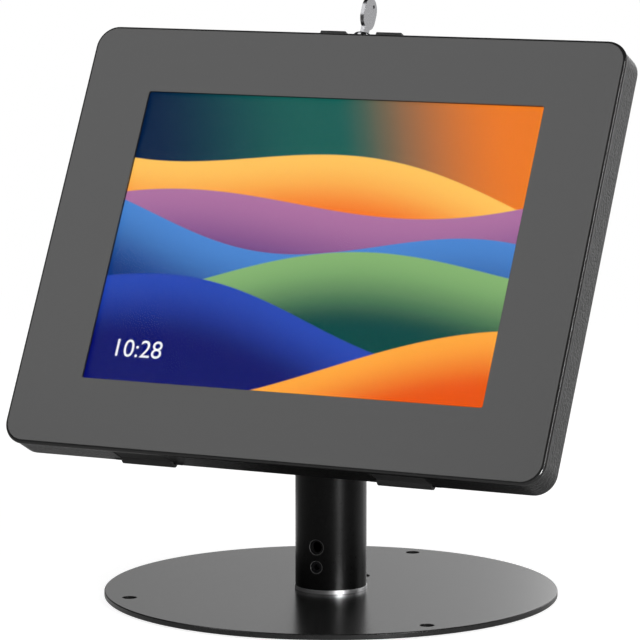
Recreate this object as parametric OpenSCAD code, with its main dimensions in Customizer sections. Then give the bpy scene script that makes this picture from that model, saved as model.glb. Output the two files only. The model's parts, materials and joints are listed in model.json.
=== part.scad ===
// Lockable tablet stand: round steel foot, round pole, tilting head and a two-part sheet-steel enclosure.
// Millimetres. +Z is up, -Y is the front, +X is the right hand of a person facing the screen.

/* [Foot] */
// Diameter of the round foot plate
base_d = 235.8; // [180:0.2:320]
// Thickness of the foot plate
base_t = 3; // [2.6:0.1:8]
// Chamfer on the foot plate's edge
base_edge = 0.4; // [0.1:0.1:0.8]
// Thickness of the rubber pad under the foot
pad_t = 1; // [0.6:0.1:3]
// Distance of the pad's outer edge inside the circle of the fixing holes
pad_fix_gap = 7; // [5:0.5:20]
// Distance of the pad's inner edge outside the cable hole's middle
pad_cable_gap = 10; // [7:0.5:30]
// Turn of the foot and pole about the pole's axis, against the head
foot_turn = 2.5; // [-20:0.5:20]
// Distance of the fixing holes' middles from the plate's edge
fix_edge = 10.9; // [6:0.1:20]
// Diameter of a fixing hole
fix_d = 7.6; // [4:0.1:9]
// Angle from the front to each front fixing hole
fix_spread = 51; // [30:0.5:75]
// Distance of the cable hole's middle from the pole's side
cable_hole_gap = 16.47; // [8:0.01:30]
// Diameter of the cable hole in the foot
cable_hole_d = 12; // [5:0.5:12]
// Distance of the plug's screws from the plug's side
foot_screw_in = 5.53; // [5.2:0.01:8]
// Thread diameter of those screws
foot_screw_d = 5; // [4:0.5:6]
// Length of those screws, head included
foot_screw_l = 14; // [10:1:18]
// Radius of their hexagon sockets
foot_hex_r = 1.75; // [1:0.05:2]
// Depth of their hexagon sockets
foot_hex_depth = 1.4; // [1:0.1:2]

/* [Pole] */
// Outer diameter of the pole
pole_d = 37.06; // [30:0.02:44]
// Wall of the pole
pole_wall = 2; // [1.5:0.1:2.5]
// Height of the bright ring under the pole
ring_h = 1.9; // [1:0.1:4]
// How far the ring stands outside the pole, on the radius
ring_proud = 0.27; // [0:0.01:1]
// Height of the lower port's axis above the foot plate
lower_port_rise = 13.8; // [10:0.1:30]
// Spacing of the two ports, one above the other
port_pitch = 10.5; // [9.4:0.1:20]
// Diameter of the upper port
upper_port_d = 7.7; // [6:0.1:9]
// Wall of the rubber grommet in the upper port
grommet_wall = 1; // [0.8:0.1:1.4]
// How far the grommet lies below the pole's outside
grommet_sunk = 0.5; // [0.2:0.1:1]
// Thickness of the grommet's flange inside the pole
grommet_flange_t = 0.8; // [0.6:0.1:1.2]
// How far the grommet's flange reaches past the port
grommet_flange_w = 1.1; // [0.8:0.1:1.6]
// Gap between the plug's top and the grommet's flange
plug_room = 0.35; // [0.2:0.05:2]
// Diameter of the set screw in the lower port
set_screw_d = 6; // [4:0.5:6]
// Length of the set screw
set_screw_l = 8; // [6:0.5:9]
// Clearance of the lower port round the set screw, on the radius
set_gap = 0.2; // [0.1:0.05:0.5]
// How far the set screw lies below the pole's outside
set_sunk = 1; // [0.5:0.1:1.5]
// Radius of its hexagon socket
set_hex_r = 1.8; // [1:0.1:2]
// Depth of its hexagon socket
set_hex_depth = 3; // [2:0.1:4]
// Diameter of the cable exit at the back of the pole
exit_port_d = 12; // [8:0.5:14]
// Distance of the cable exit's axis below the head's spigot
exit_gap = 14; // [10:0.5:30]

/* [Head] */
// Height of the tilt pivot above the table
pivot_z = 150.2; // [130:0.2:200]
// Distance of the pole's top below the pivot
pole_drop = 40; // [36:0.5:46]
// Length of the head's spigot inside the pole
spigot_l = 18; // [14:0.5:22]
// Thickness of the head's flange
flange_t = 3; // [2:0.5:4]
// Thickness of the head's lug along the pivot
lug_t = 14; // [10:0.5:18]
// Outer radius of the lug and ears about the pivot
lug_r = 11; // [9.8:0.1:12.2]
// Diameter of the screws that hold the head in the pole
head_screw_d = 5; // [4:0.5:6]
// How far these screws reach inside the pole's wall
head_screw_in = 6; // [4:0.5:8]
// How far these screws lie below the pole's outside
head_screw_sunk = 0.4; // [0.2:0.1:1]
// Radius of their hexagon sockets
head_hex_r = 1.5; // [1:0.1:1.8]
// Depth of their hexagon sockets
head_hex_depth = 2.6; // [2:0.1:3]
// Diameter of the tilt bolt
tilt_bolt_d = 8; // [6:0.5:10]
// Head radius of the tilt bolt
bolt_head_r = 6.5; // [6:0.1:8]
// Head height of the tilt bolt
bolt_head_h = 5; // [4:0.5:6]
// Radius of the bolt's hexagon socket
bolt_hex_r = 3; // [2:0.1:3.5]
// Depth of the bolt's hexagon socket
bolt_hex_depth = 3; // [2:0.1:3.5]
// Corner radius of the tilt nut
tilt_nut_r = 7.4; // [6.6:0.1:9]
// Height of the tilt nut
tilt_nut_h = 6; // [5:0.5:8]
// Length of the bolt past its nut
bolt_over = 1.5; // [0.5:0.1:4]
// Tilt of the screen back from the vertical
tilt = 26.74; // [15:0.02:40]
// Clearance of a turning shaft in its hole, on the radius
shaft_gap = 0.05; // [0.02:0.01:0.09]
// Gap between turning faces
face_gap = 0.2; // [0.1:0.05:0.4]
// Thickness of a friction washer
washer_t = 1.1; // [0.8:0.1:1.6]
// Radius of a friction washer
washer_r = 9; // [8:0.1:9.9]
// Thickness of a plain washer
plain_washer_t = 1.5; // [1:0.1:2]
// Radius of a plain washer
plain_washer_r = 8; // [7:0.1:9.5]
// Thickness of the bracket's ears
ear_t = 4; // [3:0.5:5]
// Thickness of the bracket's plate
bracket_t = 3; // [2:0.1:4]
// Half width of the bracket's plate
bracket_half_w = 28; // [24:0.5:31]
// Reach of the bracket's plate below the pivot
bracket_drop = 16; // [13:0.5:18]
// Reach of the bracket's plate above the swivel
bracket_rise = 29; // [26:0.5:32]
// Corner radius of the bracket's plate
bracket_corner = 6; // [2:0.5:10]
// Gap between the head's lug and the bracket's plate
lug_room = 0.5; // [0.4:0.1:2]

/* [Swivel] */
// Radius of the swivel spindle
spindle_r = 6; // [5:0.5:7]
// How far the spindle's head reaches past the spindle
spindle_head_w = 2.5; // [1.5:0.1:4]
// Thickness of the spindle's head
spindle_head_t = 1.2; // [0.8:0.1:1.6]
// Length of the spindle past its nut
spindle_over = 0.5; // [0.2:0.1:2]
// Radius of the swivel's spring washer
swivel_washer_r = 10; // [9:0.1:12]
// Thickness of the swivel's spring washer
swivel_washer_t = 1.5; // [1:0.1:2]
// Gap between the spring washer's edge and the bracket's ears
washer_room = 0.2; // [0.2:0.05:2]
// Corner radius of the swivel nut
swivel_nut_r = 9; // [8:0.1:10]
// Height of the swivel nut
swivel_nut_h = 5; // [4:0.1:5.5]
// Radius of the plastic swivel disc
disc_r = 16; // [12:0.5:20]
// Thickness of the plastic swivel disc
disc_t = 0.8; // [0.5:0.1:1.2]
// Diameter of the stop pin
stop_d = 4; // [3:0.5:5]
// Gap between the swivel disc and the stop pin
stop_room = 2; // [1:0.1:4]
// Clearance of the stop slot round the pin, on the radius
stop_slot_gap = 0.3; // [0.2:0.05:0.5]
// How far the round ends of the stop slot reach past its sides
stop_end_gap = 0.1; // [0.05:0.01:0.2]
// How far the stop pin stays short of the shell
stop_short = 0.5; // [0.3:0.1:1]

/* [Mounting plate] */
// Spacing of the mounting plate's four screws
mount_pitch = 75; // [70:1:100]
// Distance of the screws from the plate's edge
mount_edge = 8.5; // [6:0.5:14]
// Thickness of the mounting plate
mount_t = 2.5; // [2:0.1:3]
// Corner radius of the mounting plate
mount_corner = 8; // [3:0.5:12]
// Thread diameter of its screws
mount_screw_d = 4; // [3:0.5:5]
// Head diameter of its screws
mount_head_d = 8; // [7:0.5:9]
// Head height of its screws
mount_head_h = 2.4; // [1.6:0.1:2.8]
// Radius of their hexagon sockets
mount_hex_r = 1.5; // [1:0.1:2]
// Depth of their hexagon sockets
mount_hex_depth = 1.4; // [1:0.1:1.6]
// Radius of a clinched nut inside the shell
clinch_r = 4; // [3.4:0.1:5]
// Height of a clinched nut
clinch_h = 2.5; // [2:0.1:3]

/* [Tablet] */
// Width of the tablet
tablet_w = 248; // [220:0.5:290]
// Height of the tablet
tablet_h = 179; // [160:0.5:220]
// Corner radius of the tablet
tablet_corner = 12; // [8:0.5:16]
// Thickness of the tablet's glass
glass_t = 0.7; // [0.5:0.1:0.9]
// Distance of the glass's edge inside the tablet's edge
glass_in = 0.5; // [0.3:0.1:1]
// Thickness of the display panel
panel_t = 1.6; // [1.2:0.1:2]
// How far the display panel reaches past the window
panel_lap = 2; // [1:0.1:4]
// Corner radius of the display panel
panel_corner = 2; // [0.5:0.1:4]
// Thickness of the tablet's case behind the glass
case_t = 5.8; // [5:0.1:6.4]
// Gap between the gasket and the glass
glass_gap = 0.1; // [0.05:0.05:0.3]

/* [Enclosure] */
// Distance from the tablet's side to the shell's side
side_room = 28.6; // [20:0.1:40]
// Distance from the tablet's upper and lower edges to the shell's edges
end_room = 27.5; // [24.7:0.1:40]
// Corner radius of the rear shell
shell_corner = 11.2; // [8:0.1:16]
// Depth from the screen's face to the shell's back
shell_depth = 19.7; // [17.7:0.1:24]
// Sheet thickness of the shell
sheet_t = 1.2; // [1:0.1:1.4]
// Outer bend radius of the shell's folded back edge
shell_roll = 1.3; // [1.2:0.1:3]
// How far the front frame stands past the shell at each side
frame_lap_side = 0.7; // [0:0.1:2]
// How far the front frame stands past the shell above and below
frame_lap_end = 0.6; // [0:0.1:2]
// Corner radius of the front frame
frame_corner = 12; // [9:0.1:16]
// Radius of the front frame's rolled edge
frame_roll = 1.8; // [0.8:0.1:1.8]
// Depth of the front frame's rolled edge
frame_edge = 2.2; // [1.9:0.1:2.4]
// Thickness of the front frame's face
face_t = 1.5; // [1.2:0.1:1.7]
// Gap between the frame's edge and the shell's rim
seam = 0.4; // [0.3:0.05:0.6]
// Depth of the lip that nests inside the shell
lip_depth = 7; // [5:0.5:8]
// Gap between the lip and the shell's wall
lip_gap = 0.4; // [0.3:0.05:0.6]
// Distance of the lip's lower ends above the shell's lower edge
lip_rise = 22; // [18:0.5:50]
// Half width of the lip's notch at the lock
lip_notch = 9; // [8:0.5:14]
// Width of the tablet's border beside the window
bezel_side = 10; // [8:0.1:30]
// Width of the tablet's border above and below the window
bezel_end = 9.2; // [8:0.1:30]
// Corner radius of the window
win_corner = 1.2; // [0.5:0.1:4]
// Window's rise above the frame's centre
win_rise = 0.4; // [-2:0.1:2]
// Gasket's width round the window
gasket_w = 5; // [3:0.5:6]
// Gasket's thickness
gasket_t = 0.5; // [0.3:0.05:0.6]
// Distance of the gasket from the window's edge
gasket_in = 1; // [0.5:0.1:2]
// Corner radius of the gasket
gasket_corner = 2; // [1:0.1:4]
// Width of the cable slot in the shell's back
slot_w = 26; // [16:1:40]
// Height of the cable slot
slot_h = 12; // [8:0.5:16]
// Gap between the mounting plate and the cable slot
slot_gap = 18; // [12:0.5:30]

/* [Hinges] */
// Distance of each hinge from the enclosure's middle
hinge_u = 73.2; // [60:0.2:100]
// Width of a hinge strap and its barrel
strap_w = 30; // [20:0.5:40]
// Outer radius of a hinge barrel
barrel_r = 3; // [2.6:0.1:3.3]
// Clearance of the shell's slot over the barrel
barrel_gap = 0.6; // [0.4:0.1:1.5]
// Radius of a hinge pin
hinge_pin_r = 1.5; // [1:0.1:1.7]
// Distance of the hinge axis from the shell's back
hinge_back = 2.8; // [2.5:0.1:3.2]
// Distance of the hinge axis above the shell's lower edge
hinge_inset = 1; // [0.8:0.1:1.2]
// Distance of a strap's outer face below the hinge axis
strap_out = 0.8; // [0.6:0.1:0.9]
// Side gap between a strap and its slot
strap_gap = 0.5; // [0.4:0.1:1]
// Relief notch at a slot's inner end
slot_relief = 1.5; // [1:0.1:2.5]
// Reach of the relief notch in front of the hinge axis
relief_reach = 2; // [1:0.1:4]
// Thickness of a pin lug
pin_lug_t = 4; // [3:0.5:6]
// Reach of a pin lug in front of the hinge axis
pin_lug_front = 4.5; // [3:0.1:6]
// Reach of a pin lug above the hinge axis
pin_lug_top = 5.5; // [4:0.1:8]

/* [Lock] */
// Distance of the lock's head behind the shell's rim
lock_front = 0.6; // [0.5:0.1:2]
// Head diameter of the lock
lock_head_d = 10.6; // [10:0.1:12]
// Height of the lock's head above the shell
lock_head_h = 3.2; // [2.6:0.1:4]
// Rounding of the lock's head
lock_round = 1.2; // [0.5:0.1:1.4]
// Diameter of the lock's barrel
lock_barrel_d = 9.5; // [8.8:0.1:10]
// Length of the barrel below the shell's outside
lock_barrel_l = 17; // [15:0.5:18.5]
// Diameter of the turning plug
plug_d = 7.2; // [6.6:0.1:7.6]
// Length of the plug's tail below the barrel
plug_tail = 3.4; // [3:0.1:3.8]
// How far the plug lies below the lock's head
plug_sunk = 0.4; // [0.2:0.1:0.8]
// How far the plug's rim reaches past the plug
plug_rim_w = 0.7; // [0.4:0.1:0.8]
// Height of the plug's rim
plug_rim_h = 1.2; // [0.8:0.1:1.6]
// Clearance under the plug's rim
plug_rim_gap = 0.1; // [0.05:0.01:0.2]
// Thickness of the lock's spring clip
clip_t = 1.2; // [0.8:0.1:1.6]
// Depth of the flats that the clip sits in
clip_cut = 0.5; // [0.3:0.1:0.7]
// Width of the clip
clip_w = 15; // [13:0.5:17]
// Reach of the clip in front of the lock's axis
clip_front = 4.8; // [4:0.1:5.2]
// Reach of the clip behind the lock's axis
clip_back = 5.5; // [5.3:0.1:8]
// Swing radius of the cam
cam_swing = 6; // [5.4:0.1:6.4]
// Width of the cam
cam_w = 4.8; // [4:0.1:5.2]
// Thickness of the cam
cam_t = 2; // [1.5:0.1:2.2]
// Thread diameter of the cam's screw
cam_screw_d = 2; // [1.6:0.1:2.4]
// Head diameter of the cam's screw
cam_head_d = 4.2; // [3.6:0.1:4.8]
// Head height of the cam's screw
cam_head_h = 1.5; // [1:0.1:1.6]
// Length of the cam's screw in the plug
cam_screw_in = 3; // [2:0.1:3.2]
// Width of the slot in the cam's screw
driver_w = 0.6; // [0.4:0.1:0.8]
// Depth of the slot in the cam's screw
driver_depth = 0.5; // [0.3:0.1:0.8]
// Gap between the plug and the keeper plate
keeper_clear = 0.3; // [0.3:0.05:0.6]
// Thickness of the keeper plate
keeper_t = 1.2; // [1:0.1:1.4]
// Clearance of the keeper's slot round the cam
keeper_gap = 0.4; // [0.3:0.05:0.6]
// Rim of the keeper plate round its slot
keeper_rim = 2.6; // [2:0.1:3]
// Length of the keeper's foot on the frame
keeper_foot = 10; // [8:0.5:16]
// Thickness of the keeper's foot
keeper_foot_t = 1; // [0.8:0.1:1.4]
// Inner gap from the middle to a key guard
guard_in = 8.3; // [7:0.1:10]
// Length of a key guard along the shell's top
guard_l = 15.7; // [10:0.1:24]
// Height of a key guard above the shell
guard_h = 3.3; // [2.4:0.1:4]
// Distance of a key guard behind the shell's rim
guard_back = 2; // [1:0.1:5]
// Depth of a key guard, front to back
guard_d = 5.4; // [5:0.1:8]
// Slope of a key guard's ends
guard_slope = 0.7; // [0.4:0.1:3]

/* [Key] */
// Width of the key's bow
bow_w = 13.8; // [12:0.2:16]
// Height of the key's bow
bow_h = 17.3; // [15.4:0.1:20]
// Thickness of the key
key_t = 2.1; // [1.8:0.1:2.4]
// Width of the key's blade
blade_w = 5; // [4.5:0.1:5.5]
// Thickness of the key's blade
blade_t = 1.8; // [1.6:0.1:2]
// Width of the key's neck
neck_w = 6; // [5:0.1:7]
// Length of the neck above the lock's head
neck_l = 3.2; // [2.5:0.1:6]
// Length of the blade inside the lock
blade_l = 15; // [12:0.5:15.5]
// Slant at the blade's tip
tip_cut = 1.5; // [0.5:0.1:2]
// Spacing of the cuts along the blade
bit_pitch = 2.1; // [1.5:0.1:2.4]
// Clearance of the keyway round the blade
keyway_gap = 0.2; // [0.1:0.05:0.25]
// Free length of the keyway past the blade's tip
keyway_room = 0.6; // [0.3:0.1:2]
// Diameter of the key ring hole
ring_hole_d = 2; // [1.5:0.1:3]
// Distance of the key ring hole from the bow's top
ring_hole_edge = 3.75; // [3:0.05:6]
// Distance of the key ring hole behind the bow's middle
ring_hole_side = 2; // [-3:0.1:3]

/* [Cradle] */
// Thickness of the foam pads behind the tablet
foam_t = 1; // [0.6:0.1:1.4]
// Width of a side foam pad
foam_side_w = 14; // [8:0.5:20]
// Width of an upper or lower foam pad
foam_end_w = 10; // [6:0.5:14]
// Distance of a foam pad from the cradle's edge
foam_in = 3; // [2:0.5:8]
// Distance of a side foam pad's ends from the cradle's upper and lower edges
foam_side_gap = 24; // [20:0.5:50]
// Distance of an upper or lower foam pad's ends from the cradle's sides
foam_end_gap = 50; // [30:0.5:80]
// Corner radius of the foam pads
foam_corner = 2; // [0.5:0.1:3]
// Thickness of the cradle's sheet
cradle_t = 1.5; // [1:0.1:2]
// Distance of the cradle plate's sides inside the tablet's sides
cradle_in_side = 24; // [10:0.5:40]
// Distance of the cradle plate's edges inside the tablet's upper and lower edges
cradle_in_end = 25.5; // [10:0.5:35]
// Corner radius of the cradle plate
cradle_corner = 8; // [3:0.5:14]
// Width of the cradle's rim beside its opening
cradle_rim_side = 45; // [36:0.5:60]
// Width of the cradle's rim above and below its opening
cradle_rim_end = 28; // [20:0.5:40]
// Corner radius of the cradle's opening
cradle_cut_corner = 10; // [3:0.5:14]
// Gap between the cradle's stops and the tablet
stop_gap = 0.2; // [0.1:0.1:0.6]
// Width of one stop tab
stop_w = 16; // [10:1:24]
// Distance of a stop tab's front edge behind the tablet's glass
stop_front = 1; // [0.5:0.1:3]
// Height of the side stops above and below the middle
side_stop_v = 36; // [20:0.5:50]
// Distance of the upper and lower stops from the middle
end_stop_u = 60; // [30:0.5:80]
// Distance of a post from the cradle's side
post_in_side = 22; // [18:0.5:26]
// Distance of a post from the cradle's upper or lower edge
post_in_end = 12; // [9:0.5:16]
// Corner radius of a hexagonal post
post_r = 3.4; // [3:0.1:4.5]
// Thread diameter of a cradle screw
cradle_screw_d = 3; // [2.5:0.1:4]
// Head diameter of a cradle screw
cradle_head_d = 6; // [5:0.1:8]
// Head height of a cradle screw
cradle_head_h = 1.6; // [1.2:0.1:2.2]
// Radius of its hexagon socket
cradle_hex_r = 1.1; // [0.8:0.1:1.4]
// Depth of its hexagon socket
cradle_hex_depth = 1; // [0.6:0.1:1.1]
// How far a cradle screw's end stays short of the foam
cradle_screw_short = 0.2; // [0.1:0.1:0.5]

/* [Hidden] */
$fn = 64;
// Overrun of a cut past the face that it leaves, and overlap of joined solids
over = 1;
sink = 0.3;
thirds = [0, 120, 240];
base_top = pad_t + base_t;
fix_circle_r = base_d / 2 - fix_edge;
pole_r = pole_d / 2;
pole_in = pole_r - pole_wall;
cable_hole_r = pole_r + cable_hole_gap;
pad_d = 2 * (fix_circle_r - pad_fix_gap);
pad_in_d = 2 * (cable_hole_r + pad_cable_gap);
foot_screw_r = pole_in - foot_screw_in;
csk_h = foot_screw_d / 2;
ring_top = base_top + ring_h;
lower_port_z = base_top + lower_port_rise;
lower_port_d = set_screw_d + 2 * set_gap;
upper_port_z = lower_port_z + port_pitch;
plug_h = upper_port_z - upper_port_d / 2 - grommet_flange_w - plug_room - base_top;
set_out = pole_r - set_sunk;
pole_top = pivot_z - pole_drop;
exit_port_z = pole_top - spigot_l - exit_gap;
head_screw_z = pole_top - spigot_l / 2;
head_screw_out = pole_r - head_screw_sunk;
port_angle = foot_turn - 90;
lug_x = lug_t / 2;
ear_x0 = lug_x + washer_t + face_gap;
ear_x1 = ear_x0 + ear_t;
outer_x0 = ear_x1 + face_gap;
outer_x1 = outer_x0 + plain_washer_t;
bolt_r = tilt_bolt_d / 2;
plate_back = lug_r + lug_room;
plate_front = plate_back + bracket_t;
pivot_to_back = plate_front + face_gap + disc_t + mount_t;
centre_rise = lug_r + swivel_washer_r + washer_room;
plate_low = -bracket_drop;
plate_high = centre_rise + bracket_rise;
washer_y0 = plate_back - face_gap;
washer_y1 = washer_y0 - swivel_washer_t;
nut_y1 = washer_y1 - swivel_nut_h;
spindle_end = nut_y1 - spindle_over;
stop_r = disc_r + stop_room + stop_d / 2;
stop_angle = 135;
stop_travel = 90;
stop_hole_r = stop_d / 2 + stop_slot_gap;
mount_side = mount_pitch + 2 * mount_edge;
mount_y0 = -pivot_to_back;
mount_y1 = -pivot_to_back + mount_t;
face_to_pivot = pivot_to_back + shell_depth;
shell_w = tablet_w + 2 * side_room;
shell_h = tablet_h + 2 * end_room;
shell_top = shell_h / 2;
shell_rim = frame_edge + seam;
shell_in_y = shell_depth - sheet_t;
frame_w = shell_w + 2 * frame_lap_side;
frame_h = shell_h + 2 * frame_lap_end;
win_w = tablet_w - 2 * bezel_side;
win_h = tablet_h - 2 * bezel_end;
lip_w = shell_w - 2 * sheet_t - 2 * lip_gap;
lip_h = shell_h - 2 * sheet_t - 2 * lip_gap;
lip_corner = shell_corner - sheet_t - lip_gap;
lip_low = lip_rise - shell_top;
slot_v = -mount_side / 2 - slot_gap - slot_h / 2;
hinge_y = shell_depth - hinge_back;
hinge_v = shell_top - hinge_inset;
strap_v0 = hinge_v + strap_out;
strap_v1 = strap_v0 - sheet_t;
slot_half = strap_w / 2 + strap_gap;
pin_half = slot_half + pin_lug_t;
glass_y = face_t + gasket_t + glass_gap;
case_y = glass_y + glass_t;
case_back = case_y + case_t;
panel_w = win_w + 2 * panel_lap;
panel_h = win_h + 2 * panel_lap;
gasket_hole_w = win_w + 2 * gasket_in;
gasket_hole_h = win_h + 2 * gasket_in;
cradle_y = case_back + foam_t;
cradle_back = cradle_y + cradle_t;
cradle_w = tablet_w - 2 * cradle_in_side;
cradle_h = tablet_h - 2 * cradle_in_end;
stop_in_u = tablet_w / 2 + stop_gap;
stop_in_v = tablet_h / 2 + stop_gap;
post_u = cradle_w / 2 - post_in_side;
post_v = cradle_h / 2 - post_in_end;
foam_u = cradle_w / 2 - foam_in - foam_side_w / 2;
foam_v = cradle_h / 2 - foam_in - foam_end_w / 2;
lock_y = shell_rim + lock_front + lock_head_d / 2;
lock_top = shell_top + lock_head_h;
lock_low = shell_top - lock_barrel_l;
barrel_cut_r = lock_barrel_d / 2;
plug_top = lock_top - plug_sunk;
plug_low = lock_low - plug_tail;
plug_r = plug_d / 2;
plug_rim_r = plug_r + plug_rim_w;
cam_top = plug_low;
cam_low = cam_top - cam_t;
keeper_u = plug_r + keeper_clear;
keeper_back = lock_y + cam_w / 2 + keeper_gap;
keyway_low = plug_top - blade_l - keyway_room;
guard_out = guard_in + guard_l;
guard_y = shell_rim + guard_back;
bow_v = lock_top + neck_l + bow_h / 2;
blade_tip = plug_top - blade_l;
bitting = [0.4, 1.2, 0.5, 1.6, 0.8];
clip_v1 = shell_top - sheet_t;
clip_v0 = clip_v1 - clip_t;
clip_flat = lock_barrel_d / 2 - clip_cut;

// Frame of the tilting head: x along the pivot, y to the back, z up the screen
module at_tilt() translate([0, 0, pivot_z]) rotate([-tilt, 0, 0]) children();
// Frame of the screen's face: y is the depth behind the face
module at_face() at_tilt() translate([0, -face_to_pivot, centre_rise]) children();
// Frame of the swivel's axis, at the pivot's depth
module at_swivel() at_tilt() translate([0, 0, centre_rise]) children();
// Frame of the lock's axis, z along the lock
module at_lock() at_face() translate([0, lock_y, 0]) children();
// Turn of the foot and the pole
module at_foot() rotate([0, 0, foot_turn]) children();
// Places of the plug's three screws
module at_foot_screws() for (a = thirds) rotate([0, 0, a + 90]) translate([foot_screw_r, 0, 0]) children();
// Four places round the middle of the screen
module at_corners(u, v) for (sx = [-1, 1], sz = [-1, 1]) translate([sx * u, 0, sz * v]) children();
// Place of the stop pin, turned about the swivel
module at_stop(a) rotate([0, -a, 0]) translate([stop_r, 0, 0]) children();

// Flat piece lying in the screen's plane between two depths
module sheet(y0, y1) translate([0, y1, 0]) rotate([90, 0, 0]) linear_extrude(y1 - y0) children();
module ycyl(r, y0, y1) translate([0, y0, 0]) rotate([-90, 0, 0]) cylinder(r = r, h = y1 - y0);
module xcyl(r, x0, x1) translate([x0, 0, 0]) rotate([0, 90, 0]) cylinder(r = r, h = x1 - x0);
module hexy(r, y0, y1) translate([0, y0, 0]) rotate([-90, 0, 0]) cylinder(r = r, h = y1 - y0, $fn = 6);
module hexx(r, x0, x1) translate([x0, 0, 0]) rotate([0, 90, 0]) cylinder(r = r, h = x1 - x0, $fn = 6);
module tube(ro, ri, h) difference() {
  cylinder(r = ro, h = h);
  translate([0, 0, -over]) cylinder(r = ri, h = h + 2 * over);
}
// Round bar that points out from the pole's axis
module radial(r, z, r0, r1) translate([0, 0, z]) xcyl(r, r0, r1);
module rrect(w, h, r) {
  square([w - 2 * r, h], center = true);
  square([w, h - 2 * r], center = true);
  for (sx = [-1, 1], sz = [-1, 1]) translate([sx * (w / 2 - r), sz * (h / 2 - r)]) circle(r);
}
module block(x0, x1, y0, y1, z0, z1) translate([x0, y0, z0]) cube([x1 - x0, y1 - y0, z1 - z0]);
module fix_holes(r, z0, z1) for (a = [90, -90 - fix_spread, -90 + fix_spread])
  rotate([0, 0, a]) translate([fix_circle_r, 0, z0]) cylinder(r = r, h = z1 - z0);

// Plate with a rolled outer edge, face at zero depth
module rolled_plate(w, h, r, e, t) intersection() {
  union() {
    sheet(0, t) rrect(w - 2 * e, h - 2 * e, r - e);
    sheet(e, t) rrect(w, h, r);
    for (s = [-1, 1]) {
      translate([0, e, s * (h / 2 - e)]) xcyl(e, -w / 2 + r, w / 2 - r);
      translate([s * (w / 2 - e), e, -h / 2 + r]) cylinder(r = e, h = h - 2 * r);
    }
    for (sx = [-1, 1], sz = [-1, 1]) translate([sx * (w / 2 - r), e, sz * (h / 2 - r)]) rotate([90, 0, 0])
      rotate_extrude() translate([r - e, 0]) circle(e, $fn = 32);
  }
  block(-w, w, 0, t, -h, h);
}

// Ring-shaped rubber pad that the stand rests on
module base_pad() color([0.05, 0.05, 0.05]) tube(pad_d / 2, pad_in_d / 2, pad_t);

// Round steel foot plate
module base_plate() color([0.25, 0.25, 0.26]) at_foot() difference() {
  rotate_extrude($fn = 180) polygon([[0, pad_t], [base_d / 2 - base_edge, pad_t],
    [base_d / 2, pad_t + base_edge], [base_d / 2, base_top - base_edge],
    [base_d / 2 - base_edge, base_top], [0, base_top]]);
  fix_holes(fix_d / 2, pad_t - over, base_top + over);
  translate([0, cable_hole_r, pad_t - over]) cylinder(r = cable_hole_d / 2, h = base_t + 2 * over);
  at_foot_screws() {
    cylinder(r = foot_screw_d / 2, h = base_top + over);
    translate([0, 0, pad_t]) cylinder(r1 = foot_screw_d, r2 = foot_screw_d / 2, h = csk_h);
  }
}

// Three countersunk screws from below into the plug
module base_screws() color([0.6, 0.6, 0.62]) at_foot() at_foot_screws() translate([0, 0, pad_t]) difference() {
  union() {
    cylinder(r1 = foot_screw_d, r2 = foot_screw_d / 2, h = csk_h);
    cylinder(r = foot_screw_d / 2, h = foot_screw_l);
  }
  translate([0, 0, -over]) cylinder(r = foot_hex_r, h = foot_hex_depth + over, $fn = 6);
}

// Polished ring between the foot and the pole
module foot_ring() color([0.8, 0.8, 0.8]) translate([0, 0, base_top])
  tube(pole_r + ring_proud, pole_in, ring_h);

// Turned plug that carries the pole
module foot_plug() color([0.55, 0.55, 0.57]) at_foot() difference() {
  translate([0, 0, base_top]) cylinder(r = pole_in, h = plug_h);
  at_foot_screws() translate([0, 0, base_top - over])
    cylinder(r = foot_screw_d / 2, h = foot_screw_l - base_t + 2 * over);
  rotate([0, 0, -90]) radial(set_screw_d / 2, lower_port_z, set_out - set_screw_l, pole_in + over);
}

// Set screw that holds the pole on the plug
module set_screw() color([0.5, 0.5, 0.5]) rotate([0, 0, port_angle]) difference() {
  radial(set_screw_d / 2, lower_port_z, set_out - set_screw_l, set_out);
  translate([0, 0, lower_port_z]) hexx(set_hex_r, set_out - set_hex_depth, set_out + over);
}

// Round pole with its two front ports and the cable exit at the back
module pole_tube() color([0.06, 0.06, 0.06]) difference() {
  translate([0, 0, ring_top]) tube(pole_r, pole_in, pole_top - ring_top);
  rotate([0, 0, port_angle]) {
    radial(lower_port_d / 2, lower_port_z, 0, pole_r + over);
    radial(upper_port_d / 2, upper_port_z, 0, pole_r + over);
  }
  rotate([0, 0, port_angle + 180]) radial(exit_port_d / 2, exit_port_z, 0, pole_r + over);
  for (a = thirds) rotate([0, 0, port_angle + a]) radial(head_screw_d / 2, head_screw_z, 0, pole_r + over);
}

// Rubber grommet in the upper port, with a flange inside the pole
module cable_grommet() color([0.03, 0.03, 0.03]) rotate([0, 0, port_angle]) difference() {
  union() {
    intersection() {
      radial(upper_port_d / 2, upper_port_z, 0, pole_r + over);
      translate([0, 0, upper_port_z - upper_port_d])
        tube(pole_r - grommet_sunk, pole_in - grommet_flange_t, 2 * upper_port_d);
    }
    intersection() {
      radial(upper_port_d / 2 + grommet_flange_w, upper_port_z, 0, pole_r + over);
      translate([0, 0, upper_port_z - upper_port_d])
        tube(pole_in, pole_in - grommet_flange_t, 2 * upper_port_d);
    }
  }
  radial(upper_port_d / 2 - grommet_wall, upper_port_z, 0, pole_r + 2 * over);
}

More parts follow.
